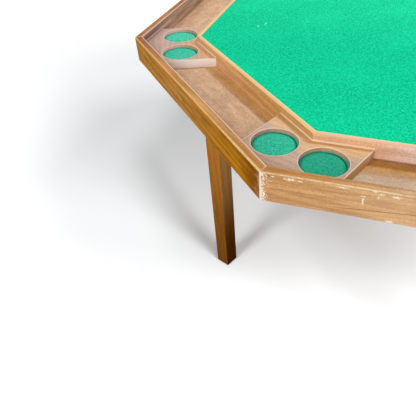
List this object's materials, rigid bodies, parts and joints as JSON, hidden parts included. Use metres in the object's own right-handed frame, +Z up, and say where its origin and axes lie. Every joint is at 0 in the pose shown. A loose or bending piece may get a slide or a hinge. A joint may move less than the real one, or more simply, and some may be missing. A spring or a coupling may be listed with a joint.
{
  "type": "folding poker table",
  "caption": "Octagonal card table with a felt top, a sunken chip trough with cup blocks in the corners, and legs that fold flat under it.",
  "frame": {"origin": "on the floor under the middle of the top, the legs' glides standing on Z = 0", "axes": "+Z up; the octagon's flats face +X, -X, +Y, -Y and the diagonals between them; the front side faces -Y"},
  "size_m": [1.32, 1.32, 0.722],
  "materials": {
    "rail_wood": "satin lacquer, worn at the edges",
    "curb_wood": "satin lacquer",
    "block_wood": "satin lacquer",
    "floor_wood": "satin lacquer",
    "panel_wood": "raw",
    "batten_wood": "raw",
    "leg_wood": "satin lacquer",
    "felt": "short wool nap",
    "cup_felt": "short wool nap",
    "bracket_steel": "zinc plated",
    "bolt_zinc": "zinc plated",
    "screw_zinc": "zinc plated",
    "glide_steel": "plated"
  },
  "bodies": {
    "table_top": {"rail_front": "rail_wood", "rail_front_right": "rail_wood", "rail_right": "rail_wood", "rail_back_right": "rail_wood", "rail_back": "rail_wood", "rail_back_left": "rail_wood", "rail_left": "rail_wood", "rail_front_left": "rail_wood", "curb_front": "curb_wood", "curb_front_right": "curb_wood", "curb_right": "curb_wood", "curb_back_right": "curb_wood", "curb_back": "curb_wood", "curb_back_left": "curb_wood", "curb_left": "curb_wood", "curb_front_left": "curb_wood", "cup_block_1": "block_wood", "cup_block_2": "block_wood", "cup_block_3": "block_wood", "cup_block_4": "block_wood", "cup_block_5": "block_wood", "cup_block_6": "block_wood", "cup_block_7": "block_wood", "cup_block_8": "block_wood", "base_panel": "floor_wood", "play_panel": "panel_wood", "felt": "felt", "cup_felts": "cup_felt", "panel_spacers": "panel_wood", "panel_screws": "screw_zinc", "bracket_screws": "screw_zinc", "batten_1": "batten_wood", "batten_2": "batten_wood", "batten_3": "batten_wood", "batten_4": "batten_wood", "bracket_1": "bracket_steel", "bracket_2": "bracket_steel", "bracket_3": "bracket_steel", "bracket_4": "bracket_steel", "hinge_bolt_1": "bolt_zinc", "hinge_bolt_2": "bolt_zinc", "hinge_bolt_3": "bolt_zinc", "hinge_bolt_4": "bolt_zinc"},
    "folding_leg_1": {"leg_1": "leg_wood", "glide_1": "glide_steel", "clamp_bolt_1": "bolt_zinc"},
    "folding_leg_2": {"leg_2": "leg_wood", "glide_2": "glide_steel", "clamp_bolt_2": "bolt_zinc"},
    "folding_leg_3": {"leg_3": "leg_wood", "glide_3": "glide_steel", "clamp_bolt_3": "bolt_zinc"},
    "folding_leg_4": {"leg_4": "leg_wood", "glide_4": "glide_steel", "clamp_bolt_4": "bolt_zinc"},
    "clamp_nut_1": {"wing_nut_1": "bolt_zinc"},
    "clamp_nut_2": {"wing_nut_2": "bolt_zinc"},
    "clamp_nut_3": {"wing_nut_3": "bolt_zinc"},
    "clamp_nut_4": {"wing_nut_4": "bolt_zinc"}
  },
  "joints": [
    {"name": "leg_1_fold", "type": "hinge", "parent": "table_top", "child": "folding_leg_1", "pos_m": [0.21276, -0.51366, 0.6309], "axis": [0.9239, -0.3827, 0], "range_deg": [0, 90]},
    {"name": "leg_2_fold", "type": "hinge", "parent": "table_top", "child": "folding_leg_2", "pos_m": [0.51366, 0.21276, 0.6309], "axis": [0.3827, 0.9239, 0], "range_deg": [0, 90]},
    {"name": "leg_3_fold", "type": "hinge", "parent": "table_top", "child": "folding_leg_3", "pos_m": [-0.21276, 0.51366, 0.6309], "axis": [-0.9239, 0.3827, 0], "range_deg": [0, 90]},
    {"name": "leg_4_fold", "type": "hinge", "parent": "table_top", "child": "folding_leg_4", "pos_m": [-0.51366, -0.21276, 0.6309], "axis": [-0.3827, -0.9239, 0], "range_deg": [0, 90]},
    {"name": "wing_nut_1_turn", "type": "hinge", "parent": "folding_leg_1", "child": "clamp_nut_1", "pos_m": [0.18237, -0.50107, 0.6009], "axis": [-0.9239, 0.3827, 0], "continuous": true},
    {"name": "wing_nut_2_turn", "type": "hinge", "parent": "folding_leg_2", "child": "clamp_nut_2", "pos_m": [0.50107, 0.18237, 0.6009], "axis": [-0.3827, -0.9239, 0], "continuous": true},
    {"name": "wing_nut_3_turn", "type": "hinge", "parent": "folding_leg_3", "child": "clamp_nut_3", "pos_m": [-0.18237, 0.50107, 0.6009], "axis": [0.9239, -0.3827, 0], "continuous": true},
    {"name": "wing_nut_4_turn", "type": "hinge", "parent": "folding_leg_4", "child": "clamp_nut_4", "pos_m": [-0.50107, -0.18237, 0.6009], "axis": [0.3827, 0.9239, 0], "continuous": true}
  ]
}
